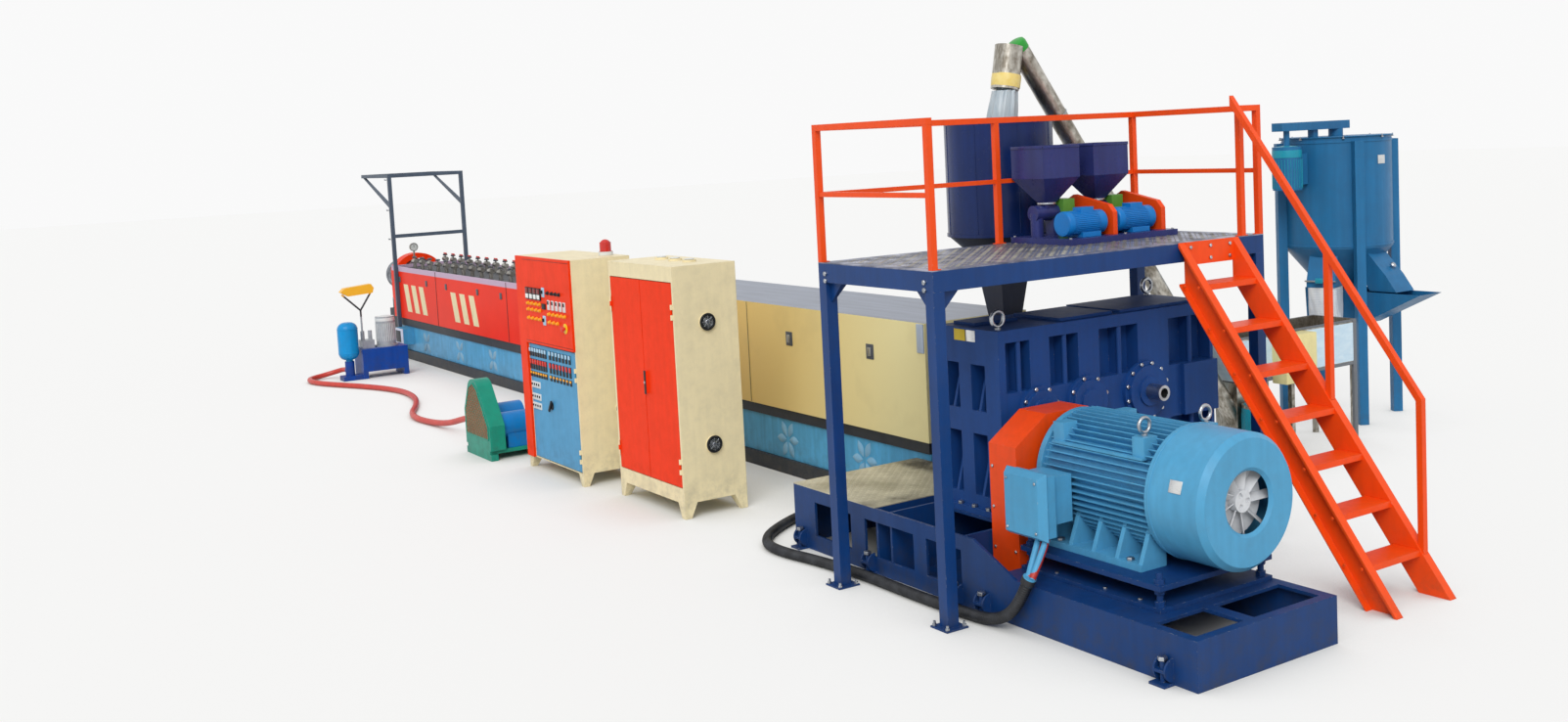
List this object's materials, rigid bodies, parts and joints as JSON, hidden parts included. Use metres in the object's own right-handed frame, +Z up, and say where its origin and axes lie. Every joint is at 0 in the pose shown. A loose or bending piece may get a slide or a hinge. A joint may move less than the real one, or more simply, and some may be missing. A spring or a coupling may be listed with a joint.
{
  "type": "plastic foam-sheet extruder",
  "caption": "Plastic extruder line section: motor, belt-driven gearbox, feed platform with stair and hoppers, mixer, covered barrel, die end, hydraulics and cabinets.",
  "frame": {"origin": "on the floor, under the gearbox pedestal's floor plate, in the middle of the barrel covers", "axes": "+X along the screw towards the main motor, plastic flows towards -X; +Y away from the operator's side; +Z up"},
  "size_m": [18.071, 7.4456, 3.5536],
  "materials": {
    "machine_navy": "satin",
    "motor_blue": "satin",
    "signal_orange": "gloss",
    "cover_cream": "satin",
    "cover_red": "gloss",
    "skirt_blue": "satin",
    "frame_black": "satin",
    "plate_steel": "satin",
    "bright_steel": "satin",
    "fan_plastic": "matte",
    "feeder_blue": "satin",
    "feeder_green": "satin",
    "mixer_blue": "satin",
    "tank_blue": "satin",
    "pump_green": "satin",
    "sheet_grey": "satin",
    "die_steel": "satin",
    "film_wrap": "gloss",
    "hose_black": "matte",
    "hose_red": "satin",
    "valve_brass": "satin",
    "beacon_red": "gloss"
  },
  "bodies": {
    "machine": {"accumulator": "feeder_blue", "base_frame": "machine_navy", "beacon": "beacon_red", "belt_guard": "signal_orange", "cabinet_body": "cover_cream", "control_body": "tank_blue", "control_panel": "cover_red", "cover_frame": "frame_black", "cover_skirt": "skirt_blue", "cream_cover": "cover_cream", "die_guard": "cover_red", "die_head": "die_steel", "die_stand": "frame_black", "feed_section": "die_steel", "feeder_barrels": "sheet_grey", "feeder_guards": "signal_orange", "feeder_hoppers": "sheet_grey", "feeder_motors": "feeder_blue", "feeder_reducers": "feeder_green", "film_sleeve": "film_wrap", "gearbox_covers": "bright_steel", "gearbox_housing": "machine_navy", "handrail_posts": "signal_orange", "handrail_rails": "signal_orange", "hopper_cone": "machine_navy", "hydraulic_pump": "sheet_grey", "hydraulic_tank": "tank_blue", "lifting_eyes": "bright_steel", "main_hopper": "machine_navy", "mixer_cone": "mixer_blue", "mixer_drive": "machine_navy", "mixer_legs": "mixer_blue", "mixer_roof": "mixer_blue", "mixer_silo": "mixer_blue", "mixer_trough": "mixer_blue", "motor_conduit": "hose_black", "motor_cowl": "motor_blue", "motor_housing": "motor_blue", "motor_plates": "machine_navy", "motor_terminal_box": "motor_blue", "outlet_bag": "film_wrap", "platform_deck": "plate_steel", "platform_frame": "machine_navy", "platform_posts": "machine_navy", "portal_frame": "machine_navy", "pump_base": "pump_green", "pump_drive": "tank_blue", "red_cover": "cover_red", "red_hose": "hose_red", "screw_loader": "sheet_grey", "stair_handrail": "signal_orange", "stair_stringers": "signal_orange", "stair_treads": "plate_steel", "step_plate": "plate_steel", "top_valves": "valve_brass"},
    "fan": {"motor_fan": "fan_plastic"},
    "screw": {"screw_tail": "bright_steel"},
    "left_door": {"cabinet_door_left": "cover_red"},
    "right_door": {"cabinet_door_right": "cover_red"},
    "lower_door": {"control_door": "tank_blue"}
  },
  "joints": [
    {"name": "fan_turn", "type": "hinge", "parent": "machine", "child": "fan", "pos_m": [2.32, -0.936, 0.817], "axis": [1, 0, 0], "continuous": true},
    {"name": "screw_turn", "type": "hinge", "parent": "machine", "child": "screw", "pos_m": [0.7, 0.04, 1.1], "axis": [1, 0, 0], "continuous": true},
    {"name": "cabinet_left_hinge", "type": "hinge", "parent": "machine", "child": "left_door", "pos_m": [-3.482, -1.899, 1.04], "axis": [0, 0, -1], "range_deg": [0, 110]},
    {"name": "cabinet_right_hinge", "type": "hinge", "parent": "machine", "child": "right_door", "pos_m": [-2.398, -1.899, 1.04], "axis": [0, 0, 1], "range_deg": [0, 110]},
    {"name": "control_door_hinge", "type": "hinge", "parent": "machine", "child": "lower_door", "pos_m": [-4.028, -2.019, 0.64], "axis": [0, 0, 1], "range_deg": [0, 110]}
  ],
  "couplings": [
    {"joint": "screw_turn", "follows": "fan_turn", "ratio": 0.025}
  ]
}
